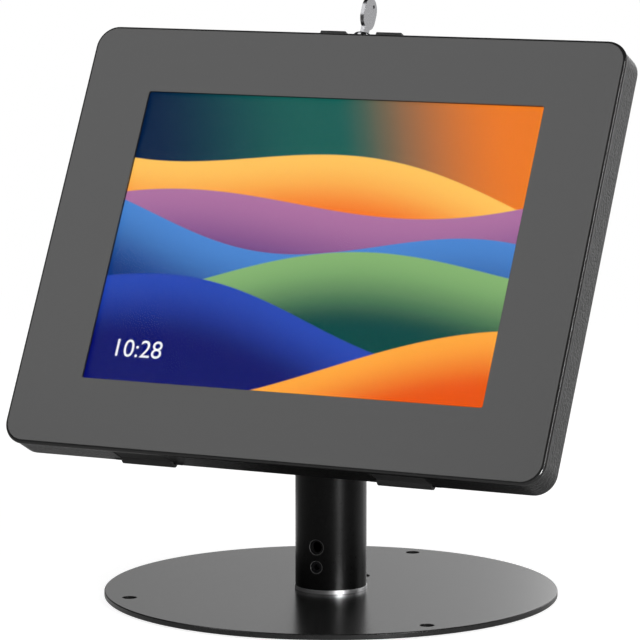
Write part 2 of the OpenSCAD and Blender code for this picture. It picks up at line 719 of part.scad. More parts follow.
// Head with its spigot in the pole and the lug of the tilt pivot
module pole_head() color([0.3, 0.3, 0.31]) difference() {
  union() {
    translate([0, 0, pole_top - spigot_l]) cylinder(r = pole_in, h = spigot_l);
    translate([0, 0, pole_top]) cylinder(r = pole_r, h = flange_t);
    block(-lug_x, lug_x, -lug_r, lug_r, pole_top + flange_t - sink, pivot_z);
    translate([0, 0, pivot_z]) xcyl(lug_r, -lug_x, lug_x);
  }
  translate([0, 0, pivot_z]) xcyl(bolt_r, -lug_x - over, lug_x + over);
  for (a = thirds) rotate([0, 0, port_angle + a])
    radial(head_screw_d / 2, head_screw_z, pole_in - head_screw_in, pole_in + over);
}

// Three set screws that hold the head in the pole
module head_screws() color([0.5, 0.5, 0.5]) for (a = thirds) rotate([0, 0, port_angle + a]) difference() {
  radial(head_screw_d / 2, head_screw_z, pole_in - head_screw_in, head_screw_out);
  translate([0, 0, head_screw_z]) hexx(head_hex_r, head_screw_out - head_hex_depth, head_screw_out + over);
}

// Pivot bolt of the tilt, fast in the head's lug
module tilt_bolt() color([0.45, 0.45, 0.46]) translate([0, 0, pivot_z]) difference() {
  union() {
    xcyl(bolt_r, -outer_x1 - tilt_nut_h - bolt_over, outer_x1 + sink);
    xcyl(bolt_head_r, outer_x1, outer_x1 + bolt_head_h);
  }
  hexx(bolt_hex_r, outer_x1 + bolt_head_h - bolt_hex_depth, outer_x1 + bolt_head_h + over);
}

// Nut on the pivot bolt
module tilt_nut() color([0.6, 0.6, 0.6]) translate([0, 0, pivot_z]) difference() {
  hexx(tilt_nut_r, -outer_x1 - tilt_nut_h, -outer_x1);
  xcyl(bolt_r, -outer_x1 - tilt_nut_h - over, -outer_x1 + over);
}

// Friction washers between lug and ears, and plain washers outside the ears
module tilt_washers() color([0.2, 0.2, 0.2]) translate([0, 0, pivot_z]) for (a = [0, 180])
  rotate([0, 0, a]) difference() {
    union() {
      xcyl(washer_r, lug_x, lug_x + washer_t);
      xcyl(plain_washer_r, outer_x0, outer_x1);
    }
    xcyl(bolt_r, lug_x - over, outer_x1 + over);
  }

// Bracket with two ears that turns about the tilt bolt
module tilt_bracket() color([0.12, 0.12, 0.12]) at_tilt() difference() {
  union() {
    translate([0, 0, (plate_low + plate_high) / 2]) sheet(-plate_front, -plate_back)
      rrect(2 * bracket_half_w, plate_high - plate_low, bracket_corner);
    for (m = [0, 1]) mirror([m, 0, 0]) {
      xcyl(lug_r, ear_x0, ear_x1);
      block(ear_x0, ear_x1, -plate_back - sink, 0, -lug_r, lug_r);
    }
  }
  xcyl(bolt_r + shaft_gap, -ear_x1 - over, ear_x1 + over);
  translate([0, 0, centre_rise]) {
    ycyl(spindle_r + shaft_gap, -plate_front - over, -plate_back + over);
    at_stop(stop_angle) ycyl(stop_d / 2, -plate_front - over, -plate_back + over);
  }
}

// Pin of the bracket that runs in the mounting plate's curved slot
module stop_pin() color([0.6, 0.6, 0.6]) at_swivel() at_stop(stop_angle)
  ycyl(stop_d / 2, mount_y0 + stop_short, -plate_back);

// Plastic disc that the mounting plate slides on
module swivel_disc() color([0.85, 0.85, 0.82]) at_swivel() difference() {
  ycyl(disc_r, mount_y1, mount_y1 + disc_t);
  ycyl(spindle_r, mount_y0, -plate_back);
}

// Shouldered spindle of the swivel, fast in the mounting plate
module swivel_spindle() color([0.6, 0.6, 0.6]) at_swivel() {
  ycyl(spindle_r + spindle_head_w, mount_y0, mount_y0 + spindle_head_t);
  ycyl(spindle_r, mount_y0 + spindle_head_t - sink, -spindle_end);
}

// Spring washer under the swivel nut
module swivel_washer() color([0.5, 0.5, 0.5]) at_swivel() difference() {
  ycyl(swivel_washer_r, -washer_y0, -washer_y1);
  ycyl(spindle_r, -washer_y0 - over, -washer_y1 + over);
}

// Nut of the swivel
module swivel_nut() color([0.6, 0.6, 0.6]) at_swivel() difference() {
  hexy(swivel_nut_r, -washer_y1, -nut_y1);
  ycyl(spindle_r, -washer_y1 - over, -nut_y1 + over);
}

// Square mounting plate with the curved slot of the swivel stop
module mount_plate() color([0.12, 0.12, 0.12]) at_swivel() difference() {
  sheet(mount_y0, mount_y1) rrect(mount_side, mount_side, mount_corner);
  ycyl(spindle_r, mount_y0 - over, mount_y1 + over);
  ycyl(spindle_r + spindle_head_w, mount_y0 - over, mount_y0 + spindle_head_t);
  intersection() {
    difference() {
      ycyl(stop_r + stop_hole_r, mount_y0 - over, mount_y1 + over);
      ycyl(stop_r - stop_hole_r, mount_y0 - 2 * over, mount_y1 + 2 * over);
    }
    rotate([0, stop_angle - stop_travel, 0])
      block(-mount_side, 0, mount_y0 - 2 * over, mount_y1 + 2 * over, 0, mount_side);
  }
  for (a = [stop_angle, stop_angle - stop_travel]) at_stop(a)
    ycyl(stop_hole_r + stop_end_gap, mount_y0 - over, mount_y1 + over);
  at_corners(mount_pitch / 2, mount_pitch / 2) ycyl(mount_screw_d / 2, mount_y0 - over, mount_y1 + over);
}

// Four pan-head screws of the mounting plate
module mount_screws() color([0.5, 0.5, 0.5]) at_face() at_corners(mount_pitch / 2, mount_pitch / 2)
  translate([0, shell_depth + mount_t, 0]) difference() {
    union() {
      ycyl(mount_screw_d / 2, -mount_t - sheet_t - clinch_h, sink);
      ycyl(mount_head_d / 2, 0, mount_head_h);
    }
    hexy(mount_hex_r, mount_head_h - mount_hex_depth, mount_head_h + over);
  }

// Four clinched nuts inside the shell
module clinch_nuts() color([0.65, 0.65, 0.65]) at_face()
  at_corners(mount_pitch / 2, mount_pitch / 2) difference() {
  ycyl(clinch_r, shell_in_y - clinch_h, shell_in_y);
  ycyl(mount_screw_d / 2, shell_in_y - clinch_h - over, shell_in_y + over);
}

// Outline of a key guard over a base line, grown inwards by g
module guard(g, y0, y1, z0) sheet(y0, y1) polygon([
  [guard_in + g, z0], [guard_out - g, z0], [guard_out - g, shell_top],
  [guard_out - guard_slope - g, shell_top + guard_h - g],
  [guard_in + guard_slope + g, shell_top + guard_h - g], [guard_in + g, shell_top]]);

// Folded rear shell with its hinge slots, pin lugs and key guards
module rear_shell() color([0.3, 0.3, 0.31]) at_face() difference() {
  union() {
    difference() {
      translate([0, shell_depth, 0]) mirror([0, 1, 0])
        rolled_plate(shell_w, shell_h, shell_corner, shell_roll, shell_depth - shell_rim);
      sheet(shell_rim - over, shell_in_y)
        rrect(shell_w - 2 * sheet_t, shell_h - 2 * sheet_t, shell_corner - sheet_t);
      for (m = [0, 1]) mirror([m, 0, 0]) translate([hinge_u, 0, 0]) {
        block(-slot_half, slot_half, shell_rim - over, shell_depth + over,
          -shell_top - over, -hinge_v + barrel_r + barrel_gap);
        block(-slot_half - slot_relief, 0, hinge_y - relief_reach, shell_depth + over,
          -shell_top - over, -shell_top + sheet_t);
      }
    }
    for (s = [-1, 1]) translate([s * hinge_u, 0, 0]) for (m = [0, 1]) mirror([m, 0, 0])
      block(slot_half, pin_half, hinge_y - pin_lug_front, shell_in_y + sink,
        -shell_top + sheet_t - sink, -hinge_v + pin_lug_top);
    for (m = [0, 1]) mirror([m, 0, 0]) guard(0, guard_y, guard_y + guard_d, shell_top - sheet_t);
  }
  for (m = [0, 1]) mirror([m, 0, 0])
    guard(sheet_t, guard_y + sheet_t, guard_y + guard_d - sheet_t, shell_top - sheet_t - over);
  for (s = [-1, 1]) translate([s * hinge_u, hinge_y, -hinge_v])
    xcyl(hinge_pin_r, -pin_half - over, pin_half + over);
  translate([0, lock_y, shell_top - sheet_t - over]) cylinder(r = barrel_cut_r, h = sheet_t + 2 * over);
  at_corners(mount_pitch / 2, mount_pitch / 2) ycyl(mount_screw_d / 2, shell_in_y - over, shell_depth + over);
  at_corners(post_u, post_v) ycyl(cradle_screw_d / 2, shell_in_y - over, shell_depth + over);
  translate([0, 0, slot_v]) sheet(shell_in_y - over, shell_depth + over)
    rrect(slot_w, slot_h, slot_h / 2 - sink);
}

// Two hinge pins, fast in the shell's lugs
module hinge_pins() color([0.6, 0.6, 0.6]) at_face() for (s = [-1, 1])
  translate([s * hinge_u, hinge_y, -hinge_v]) xcyl(hinge_pin_r, -pin_half, pin_half);

// Body of the cam lock
module lock_body() color([0.35, 0.35, 0.36]) at_lock() difference() {
  union() {
    translate([0, 0, lock_low]) cylinder(r = barrel_cut_r, h = lock_barrel_l + sink);
    translate([0, 0, shell_top]) cylinder(r = lock_head_d / 2, h = lock_head_h - lock_round);
    translate([0, 0, shell_top]) cylinder(r = lock_head_d / 2 - lock_round, h = lock_head_h);
    translate([0, 0, lock_top - lock_round]) rotate_extrude()
      translate([lock_head_d / 2 - lock_round, 0]) circle(lock_round, $fn = 32);
  }
  translate([0, 0, lock_low - over]) cylinder(r = plug_r + shaft_gap, h = lock_top - lock_low + 2 * over);
  translate([0, 0, plug_top - plug_rim_h - plug_rim_gap])
    cylinder(r = plug_rim_r + shaft_gap, h = plug_rim_h + plug_sunk + over);
  for (m = [0, 1]) mirror([m, 0, 0])
    block(clip_flat, lock_barrel_d, -lock_barrel_d, lock_barrel_d, clip_v0, clip_v1);
}

// Spring clip that holds the lock in the shell's top wall
module lock_clip() color([0.6, 0.6, 0.6]) at_lock() difference() {
  block(-clip_w / 2, clip_w / 2, -clip_front, clip_back, clip_v0, clip_v1);
  block(-clip_flat, clip_flat, -clip_front - over, 0, clip_v0 - over, clip_v1 + over);
  intersection() {
    translate([0, 0, clip_v0 - over]) cylinder(r = barrel_cut_r, h = clip_t + 2 * over);
    block(-clip_flat, clip_flat, -lock_barrel_d, lock_barrel_d, clip_v0 - over, clip_v1 + over);
  }
}

// Cradle plate with stop tabs round the tablet
module cradle() color([0.35, 0.35, 0.36]) at_face() difference() {
  union() {
    sheet(cradle_y, cradle_back) rrect(cradle_w, cradle_h, cradle_corner);
    for (m = [0, 1], s = [-1, 1]) mirror([m, 0, 0]) translate([0, 0, s * side_stop_v]) {
      block(cradle_w / 2 - over, stop_in_u + cradle_t, cradle_y, cradle_back, -stop_w / 2, stop_w / 2);
      block(stop_in_u, stop_in_u + cradle_t, case_y + stop_front, cradle_back, -stop_w / 2, stop_w / 2);
    }
    for (m = [0, 1], s = [-1, 1]) mirror([0, 0, m]) translate([s * end_stop_u, 0, 0]) {
      block(-stop_w / 2, stop_w / 2, cradle_y, cradle_back, cradle_h / 2 - over, stop_in_v + cradle_t);
      block(-stop_w / 2, stop_w / 2, case_y + stop_front, cradle_back, stop_in_v, stop_in_v + cradle_t);
    }
  }
  sheet(cradle_y - over, cradle_back + over)
    rrect(cradle_w - 2 * cradle_rim_side, cradle_h - 2 * cradle_rim_end, cradle_cut_corner);
  at_corners(post_u, post_v) ycyl(cradle_screw_d / 2, cradle_y - over, cradle_back + over);
}

// Hexagonal posts between the shell's back and the cradle
module cradle_posts() color([0.7, 0.68, 0.5]) at_face() at_corners(post_u, post_v) difference() {
  hexy(post_r, cradle_back, shell_in_y);
  ycyl(cradle_screw_d / 2, cradle_back - over, shell_in_y + over);
}

// Screws through the shell's back into the cradle
module cradle_screws() color([0.5, 0.5, 0.5]) at_face() at_corners(post_u, post_v) difference() {
  union() {
    ycyl(cradle_screw_d / 2, cradle_y + cradle_screw_short, shell_depth + sink);
    ycyl(cradle_head_d / 2, shell_depth, shell_depth + cradle_head_h);
  }
  hexy(cradle_hex_r, shell_depth + cradle_head_h - cradle_hex_depth, shell_depth + cradle_head_h + over);
}

// Foam pads between the cradle and the tablet
module foam_pads() color([0.1, 0.1, 0.1]) at_face() for (s = [-1, 1]) {
  translate([s * foam_u, 0, 0]) sheet(case_back, cradle_y)
    rrect(foam_side_w, cradle_h - 2 * foam_side_gap, foam_corner);
  translate([0, 0, s * foam_v]) sheet(case_back, cradle_y)
    rrect(cradle_w - 2 * foam_end_gap, foam_end_w, foam_corner);
}

// Tablet's case with the pocket of the display
module tablet_case() color([0.7, 0.7, 0.72]) at_face() difference() {
  sheet(case_y, case_back) rrect(tablet_w, tablet_h, tablet_corner);
  translate([0, 0, win_rise]) sheet(case_y - over, case_y + panel_t) rrect(panel_w, panel_h, panel_corner);
}

// Display panel in the tablet's case
module tablet_display() color([0.05, 0.1, 0.3]) at_face() translate([0, 0, win_rise])
  sheet(case_y, case_y + panel_t) rrect(panel_w, panel_h, panel_corner);

// Cover glass of the tablet
module tablet_glass() color([0.02, 0.02, 0.03]) at_face() sheet(glass_y, case_y)
  rrect(tablet_w - 2 * glass_in, tablet_h - 2 * glass_in, tablet_corner - glass_in);

// Front frame with its window, nested lip, hinge straps and barrels
module front_frame() color([0.32, 0.32, 0.33]) at_face() difference() {
  union() {
    difference() {
      rolled_plate(frame_w, frame_h, frame_corner, frame_roll, frame_edge);
      sheet(face_t, frame_edge + over)
        rrect(frame_w - 2 * sheet_t, frame_h - 2 * sheet_t, frame_corner - sheet_t);
      translate([0, 0, win_rise]) sheet(-over, frame_edge + over) rrect(win_w, win_h, win_corner);
    }
    difference() {
      sheet(face_t - sink, lip_depth) rrect(lip_w, lip_h, lip_corner);
      sheet(face_t - over, lip_depth + over)
        rrect(lip_w - 2 * sheet_t, lip_h - 2 * sheet_t, lip_corner - sheet_t);
      block(-frame_w, frame_w, face_t - over, lip_depth + over, -frame_h, lip_low);
      block(-lip_notch, lip_notch, face_t - over, lip_depth + over, 0, frame_h);
    }
    for (s = [-1, 1]) translate([s * hinge_u, 0, 0]) {
      block(-strap_w / 2, strap_w / 2, face_t - sink, hinge_y, -strap_v0, -strap_v1);
      translate([0, hinge_y, -hinge_v]) xcyl(barrel_r, -strap_w / 2, strap_w / 2);
    }
  }
  for (s = [-1, 1]) translate([s * hinge_u, hinge_y, -hinge_v])
    xcyl(hinge_pin_r + shaft_gap, -strap_w / 2 - over, strap_w / 2 + over);
}

// Gasket round the window, on the inside of the frame
module frame_gasket() color([0.03, 0.03, 0.03]) at_face() translate([0, 0, win_rise]) difference() {
  sheet(face_t, face_t + gasket_t)
    rrect(gasket_hole_w + 2 * gasket_w, gasket_hole_h + 2 * gasket_w, gasket_corner);
  sheet(face_t - over, face_t + gasket_t + over) rrect(gasket_hole_w, gasket_hole_h, gasket_corner);
}

// Keeper plate on the frame, with the slot that takes the cam
module lock_keeper() color([0.5, 0.5, 0.5]) at_face() difference() {
  union() {
    block(keeper_u, keeper_u + keeper_t, face_t, keeper_back + keeper_rim,
      cam_low - keeper_gap - keeper_rim, cam_top + keeper_gap + keeper_rim);
    block(keeper_u, keeper_u + keeper_foot, face_t, face_t + keeper_foot_t,
      cam_low - keeper_gap - keeper_rim, cam_top + keeper_gap + keeper_rim);
  }
  block(keeper_u - over, keeper_u + keeper_t + over, face_t + keeper_foot_t + sink, keeper_back,
    cam_low - keeper_gap, cam_top + keeper_gap);
}

// Turning plug of the lock with its keyway
module lock_plug() color([0.55, 0.55, 0.56]) at_lock() difference() {
  union() {
    translate([0, 0, plug_low]) cylinder(r = plug_r, h = plug_top - plug_low);
    translate([0, 0, plug_top - plug_rim_h]) cylinder(r = plug_rim_r, h = plug_rim_h);
  }
  block(-blade_t / 2 - keyway_gap, blade_t / 2 + keyway_gap, -blade_w / 2 - keyway_gap,
    blade_w / 2 + keyway_gap, keyway_low, plug_top + over);
  translate([0, 0, plug_low - over]) cylinder(r = cam_screw_d / 2, h = cam_screw_in + over);
}

// Cam on the plug's end, pointing to the front when unlocked
module lock_cam() color([0.6, 0.6, 0.6]) at_lock() difference() {
  intersection() {
    block(-cam_w / 2, cam_w / 2, -cam_swing, cam_w / 2, cam_low, cam_top);
    translate([0, 0, cam_low - over]) cylinder(r = cam_swing, h = cam_t + 2 * over);
  }
  translate([0, 0, cam_low - over]) cylinder(r = cam_screw_d / 2, h = cam_t + 2 * over);
}

// Screw that holds the cam
module cam_screw() color([0.5, 0.5, 0.5]) at_lock() translate([0, 0, cam_low]) difference() {
  union() {
    translate([0, 0, -cam_head_h]) cylinder(r = cam_head_d / 2, h = cam_head_h);
    translate([0, 0, -sink]) cylinder(r = cam_screw_d / 2, h = cam_t + cam_screw_in + sink);
  }
  block(-cam_head_d, cam_head_d, -driver_w / 2, driver_w / 2, -cam_head_h - over, driver_depth - cam_head_h);
}

// Flat key with a round bow
module key() color([0.65, 0.65, 0.66]) at_lock() difference() {
  union() {
    translate([-key_t / 2, 0, bow_v]) rotate([90, 0, 90]) linear_extrude(key_t) {
      square([bow_w, bow_h - bow_w], center = true);
      for (s = [-1, 1]) translate([0, s * (bow_h - bow_w) / 2]) circle(bow_w / 2);
    }
    block(-key_t / 2, key_t / 2, -neck_w / 2, neck_w / 2, lock_top, bow_v - bow_h / 4);
    translate([-blade_t / 2, 0, 0]) rotate([90, 0, 90]) linear_extrude(blade_t) polygon(concat(
      [[blade_w / 2, lock_top + sink], [-blade_w / 2, lock_top + sink], [-blade_w / 2, blade_tip + tip_cut],
        [-blade_w / 2 + tip_cut, blade_tip]],
      [for (i = [0 : len(bitting) - 1]) [bitting[i], blade_tip + i * bit_pitch]],
      [[blade_w / 2, blade_tip + len(bitting) * bit_pitch]]));
  }
  translate([0, ring_hole_side, bow_v + bow_h / 2 - ring_hole_edge]) xcyl(ring_hole_d / 2, -key_t, key_t);
}

base_pad();
base_plate();
base_screws();
foot_ring();
foot_plug();
set_screw();
pole_tube();
cable_grommet();
pole_head();
head_screws();
tilt_bolt();
tilt_nut();
tilt_washers();
tilt_bracket();
stop_pin();
swivel_disc();
swivel_spindle();
swivel_washer();
swivel_nut();
mount_plate();
mount_screws();
clinch_nuts();
rear_shell();
hinge_pins();
lock_body();
lock_clip();
cradle();
cradle_posts();
cradle_screws();
foam_pads();
tablet_case();
tablet_display();
tablet_glass();
front_frame();
frame_gasket();
lock_keeper();
lock_plug();
lock_cam();
cam_screw();
key();
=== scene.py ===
import json
import math

import bmesh
import bpy
from mathutils import Matrix, Vector


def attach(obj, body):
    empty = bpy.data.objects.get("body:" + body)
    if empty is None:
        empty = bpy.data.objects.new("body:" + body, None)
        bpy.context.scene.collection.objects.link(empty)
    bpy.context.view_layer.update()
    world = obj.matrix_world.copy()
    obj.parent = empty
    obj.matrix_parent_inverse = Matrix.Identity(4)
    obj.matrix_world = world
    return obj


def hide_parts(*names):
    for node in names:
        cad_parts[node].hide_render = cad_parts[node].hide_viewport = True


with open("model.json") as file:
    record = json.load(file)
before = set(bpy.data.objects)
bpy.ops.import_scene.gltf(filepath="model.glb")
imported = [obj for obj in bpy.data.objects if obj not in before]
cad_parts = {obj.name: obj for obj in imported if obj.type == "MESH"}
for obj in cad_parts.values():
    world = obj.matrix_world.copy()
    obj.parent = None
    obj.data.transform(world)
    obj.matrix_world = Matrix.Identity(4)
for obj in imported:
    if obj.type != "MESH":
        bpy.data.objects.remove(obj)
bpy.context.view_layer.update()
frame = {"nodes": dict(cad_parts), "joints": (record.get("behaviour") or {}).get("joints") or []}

# Camera: a long lens a little above the screen's middle, to the right of the stand's front.
# Its place comes from a fit to the window, the frame's corners, the foot and the pole.
view_side = math.radians(27.207)
view_height = math.radians(7.447)
view_distance = 2.04439
view_aim = Vector((-0.005074, -0.002608, 0.144452))
sensor_width = 36.0
focal_length = 222.73
farthest_seen = 50.0

scene = bpy.context.scene
scene.view_settings.view_transform = "Standard"
towards_eye = Vector((
    math.sin(view_side) * math.cos(view_height),
    -math.cos(view_side) * math.cos(view_height),
    math.sin(view_height),
))
lens = bpy.data.cameras.new("camera")
lens.sensor_width = sensor_width
lens.lens = focal_length
lens.clip_end = farthest_seen
camera = bpy.data.objects.new("camera", lens)
camera.location = view_aim + view_distance * towards_eye
camera.rotation_euler = towards_eye.to_track_quat("Z", "Y").to_euler()
scene.collection.objects.link(camera)
scene.camera = camera

# Studio: a white round floor and a white surround that darkens overhead, like a lit sweep under
# a dim ceiling. Mirrors show the white sweep and the floor close behind the stand, and a dimmer
# room at its sides and in front of it. Lengths are metres from the pole, angles are from behind.
floor_radius = 3.0
floor_sides = 96
floor_tone = (0.45, 0.45, 0.45, 1.0)
floor_glow = 0.86
shadow_reach = (0.35, 1.3)
sky_light = 0.62
ceiling_start = (0.05, 0.20)
ceiling_tone = 0.05
sweep_rise = 0.32
sweep_left = (math.radians(-50.0), math.radians(-13.0))
sweep_right = (math.radians(34.0), math.radians(54.0))
room_left = 0.20
room_right = 0.12
room_turn = (0.25, 0.75)
room_reach = (0.06, 0.14)
patch_reach = (0.24, 0.38)
patch_start = (0.04, 0.09)


def feed(tree, slot, value):
    """Number set on a socket, or another node's result linked to it."""
    if isinstance(value, (int, float)):
        slot.default_value = value
    else:
        tree.links.new(value, slot)


def arithmetic(tree, kind, *values):
    """Result of one arithmetic node, fed with numbers and sockets."""
    node = tree.nodes.new("ShaderNodeMath")
    node.operation = kind
    for slot, value in zip(node.inputs, values):
        feed(tree, slot, value)
    return node.outputs[0]


def smooth_run(tree, value, start, end, low, high):
    """Smooth run from low to high while a value goes from start to end."""
    node = tree.nodes.new("ShaderNodeMapRange")
    node.interpolation_type = "SMOOTHSTEP"
    slots = ("Value", "From Min", "From Max", "To Min", "To Max")
    for slot, part in zip(slots, (value, start, end, low, high)):
        feed(tree, node.inputs[slot], part)
    return node.outputs[0]


def axes_of(tree, vector):
    """The x, y and z of a vector."""
    node = tree.nodes.new("ShaderNodeSeparateXYZ")
    tree.links.new(vector, node.inputs[0])
    return node.outputs


def lit_share(tree, spot):
    """1 where a direction points at the lit sweep, down to the room's tone elsewhere."""
    x, y, _ = axes_of(tree, spot)
    turn = arithmetic(tree, "ARCTAN2", x, y)
    room = smooth_run(tree, x, *room_turn, room_left, room_right)
    left = smooth_run(tree, turn, *sweep_left, room, 1.0)
    right = smooth_run(tree, turn, *sweep_right, 1.0, room)
    return arithmetic(tree, "MULTIPLY", left, right)


def seen_rays(tree, share):
    """White for the camera's rays and the lit share for mirrored ones, and which rays see any."""
    path = tree.nodes.new("ShaderNodeLightPath").outputs
    direct = path["Is Camera Ray"]
    mirrored = arithmetic(tree, "MAXIMUM", path["Is Glossy Ray"], path["Is Transmission Ray"])
    shown = arithmetic(tree, "MAXIMUM", direct, arithmetic(tree, "MULTIPLY", mirrored, share))
    return shown, arithmetic(tree, "MAXIMUM", direct, mirrored)


floor_mesh = bpy.data.meshes.new("studio_floor")
bm = bmesh.new()
bmesh.ops.create_circle(bm, cap_ends=True, segments=floor_sides, radius=floor_radius)
bm.to_mesh(floor_mesh)
bm.free()
studio_floor = bpy.data.objects.new("studio_floor", floor_mesh)
scene.collection.objects.link(studio_floor)

floor_paint = bpy.data.materials.new("studio_floor")
floor_paint.use_nodes = True
tree = floor_paint.node_tree
tree.nodes.remove(tree.nodes["Principled BSDF"])
place = tree.nodes.new("ShaderNodeTexCoord").outputs["Object"]
length = tree.nodes.new("ShaderNodeVectorMath")
length.operation = "LENGTH"
tree.links.new(place, length.inputs[0])
from_pole = length.outputs["Value"]
away = smooth_run(tree, from_pole, *shadow_reach, 0.0, 1.0)
share = smooth_run(tree, from_pole, *room_reach, 1.0, lit_share(tree, place))
close = smooth_run(tree, from_pole, *patch_reach, 1.0, 0.0)
behind = smooth_run(tree, axes_of(tree, place)["Y"], *patch_start, 0.0, 1.0)
patch = arithmetic(tree, "MULTIPLY", close, behind)
shown, _ = seen_rays(tree, arithmetic(tree, "MAXIMUM", share, patch))
matt = tree.nodes.new("ShaderNodeBsdfDiffuse")
matt.inputs["Color"].default_value = floor_tone
near_glow = tree.nodes.new("ShaderNodeEmission")
far_glow = tree.nodes.new("ShaderNodeEmission")
near = tree.nodes.new("ShaderNodeAddShader")
whole = tree.nodes.new("ShaderNodeMixShader")
tree.links.new(arithmetic(tree, "MULTIPLY", shown, floor_glow), near_glow.inputs["Strength"])
tree.links.new(shown, far_glow.inputs["Strength"])
tree.links.new(matt.outputs[0], near.inputs[0])
tree.links.new(near_glow.outputs[0], near.inputs[1])
tree.links.new(away, whole.inputs["Fac"])
tree.links.new(near.outputs[0], whole.inputs[1])
tree.links.new(far_glow.outputs[0], whole.inputs[2])
tree.links.new(whole.outputs[0], tree.nodes["Material Output"].inputs["Surface"])
floor_mesh.materials.append(floor_paint)

surround = bpy.data.worlds.new("surround")
scene.world = surround
surround.use_nodes = True
tree = surround.node_tree
backdrop = tree.nodes["Background"]
backdrop.inputs["Color"].default_value = (1.0, 1.0, 1.0, 1.0)
direction = tree.nodes.new("ShaderNodeTexCoord").outputs["Generated"]
_, y, z = axes_of(tree, direction)
height = arithmetic(tree, "MULTIPLY_ADD", arithmetic(tree, "MAXIMUM", y, 0.0), -sweep_rise, z)
ceiling = smooth_run(tree, height, *ceiling_start, 1.0, ceiling_tone)
shown, sees = seen_rays(tree, lit_share(tree, direction))
lighting = arithmetic(tree, "MULTIPLY_ADD", sees, -sky_light, sky_light)
level = arithmetic(tree, "ADD", shown, lighting)
tree.links.new(arithmetic(tree, "MULTIPLY", ceiling, level), backdrop.inputs["Strength"])


def softbox(name, place, target, size, watts):
    """Flat area lamp that faces its target."""
    lamp = bpy.data.lights.new(name, "AREA")
    lamp.shape = "RECTANGLE"
    lamp.size, lamp.size_y = size
    lamp.energy = watts
    box = bpy.data.objects.new(name, lamp)
    box.location = place
    box.rotation_euler = (Vector(place) - Vector(target)).to_track_quat("Z", "Y").to_euler()
    box.visible_camera = False
    scene.collection.objects.link(box)


softbox("box_front_left", place=(-1.25, -1.44, 1.98), target=(0.0, 0.0, 0.18),
        size=(1.6, 1.6), watts=20.0)
softbox("strip_low", place=(1.30, -0.95, 0.16), target=(0.0, 0.0, 0.10),
        size=(0.14, 0.34), watts=18.0)
softbox("strip_high", place=(1.61, -0.59, 1.07), target=(0.15, 0.0, 0.20),
        size=(0.14, 1.0), watts=12.0)
softbox("box_right", place=(1.35, 1.25, 0.55), target=(0.15, 0.0, 0.18),
        size=(0.7, 0.9), watts=4.0)
softbox("box_back", place=(-0.52, 2.45, 0.90), target=(0.0, 0.0, 0.1),
        size=(0.8, 1.2), watts=6.0)

# Rubber ring under the foot: black sheet rubber, cut as a ring and glued to the plate.
# It is matt and slightly mottled, and only its edge shows under the plate.
nodes = frame["nodes"]
noise_low = 0.3
noise_high = 0.7


def shader(mat):
    """Sockets of a material's main shader."""
    return mat.node_tree.nodes["Principled BSDF"].inputs


def finish(name, colour, rough, metal=0.0, specular=0.5):
    """New material with the values that are the same all over its surface."""
    mat = bpy.data.materials.new(name)
    mat.use_nodes = True
    shader(mat)["Base Color"].default_value = (*colour, 1.0)
    shader(mat)["Roughness"].default_value = rough
    shader(mat)["Metallic"].default_value = metal
    shader(mat)["Specular IOR Level"].default_value = specular
    return mat


def grain(mat, fineness, detail=3.0, stretch=(1.0, 1.0, 1.0), turn=(0.0, 0.0, 0.0)):
    """Noise in the piece's own coordinates, in cycles per metre, stretched and turned."""
    tree = mat.node_tree
    place = tree.nodes.new("ShaderNodeTexCoord")
    lay = tree.nodes.new("ShaderNodeMapping")
    lay.vector_type = "TEXTURE"
    lay.inputs["Rotation"].default_value = turn
    lay.inputs["Scale"].default_value = stretch
    noise = tree.nodes.new("ShaderNodeTexNoise")
    noise.inputs["Scale"].default_value = fineness
    noise.inputs["Detail"].default_value = detail
    tree.links.new(place.outputs["Object"], lay.inputs["Vector"])
    tree.links.new(lay.outputs["Vector"], noise.inputs["Vector"])
    return noise.outputs["Fac"]


def tint(mat, pattern, dark, light):
    """Colour that runs from dark to light with a pattern."""
    ramp = mat.node_tree.nodes.new("ShaderNodeValToRGB")
    stops = zip(ramp.color_ramp.elements, (noise_low, noise_high), (dark, light))
    for stop, position, colour in stops:
        stop.position = position
        stop.color = (*colour, 1.0)
    mat.node_tree.links.new(pattern, ramp.inputs["Fac"])
    mat.node_tree.links.new(ramp.outputs["Color"], shader(mat)["Base Color"])


def sheen_range(mat, pattern, smooth, rough):
    """Roughness that runs from smooth to rough with a pattern."""
    tree = mat.node_tree
    span = tree.nodes.new("ShaderNodeMapRange")
    slots = ("Value", "From Min", "From Max", "To Min", "To Max")
    for slot, part in zip(slots, (pattern, noise_low, noise_high, smooth, rough)):
        feed(tree, span.inputs[slot], part)
    tree.links.new(span.outputs[0], shader(mat)["Roughness"])


def relief(mat, pattern, depth, edge=0.0):
    """Bump of a pattern, over edges that are eased by a small radius where one is given."""
    tree = mat.node_tree
    bump = tree.nodes.new("ShaderNodeBump")
    bump.inputs["Strength"].default_value = 1.0
    bump.inputs["Distance"].default_value = depth
    tree.links.new(pattern, bump.inputs["Height"])
    if edge:
        eased = tree.nodes.new("ShaderNodeBevel")
        eased.inputs["Radius"].default_value = edge
        tree.links.new(eased.outputs["Normal"], bump.inputs["Normal"])
    tree.links.new(bump.outputs["Normal"], shader(mat)["Normal"])


def surface(name, cloud, colours, haze, roughness, skin, depth, edge=0.0, metal=0.0, specular=0.5):
    """Material with a cloudy colour, a hazy gloss and a fine skin.

    cloud, haze and skin each say what grain takes: fineness, then detail, stretch and turn.
    """
    plain = [(dark + light) / 2 for dark, light in zip(*colours)]
    mat = finish(name, plain, sum(roughness) / 2, metal, specular)
    tint(mat, grain(mat, *cloud), *colours)
    sheen_range(mat, grain(mat, *haze), *roughness)
    relief(mat, grain(mat, *skin), depth, edge)
    return mat


def paint(mat, *names):
    """The whole of these nodes takes one material."""
    for name in names:
        nodes[name].data.materials.clear()
        nodes[name].data.materials.append(mat)


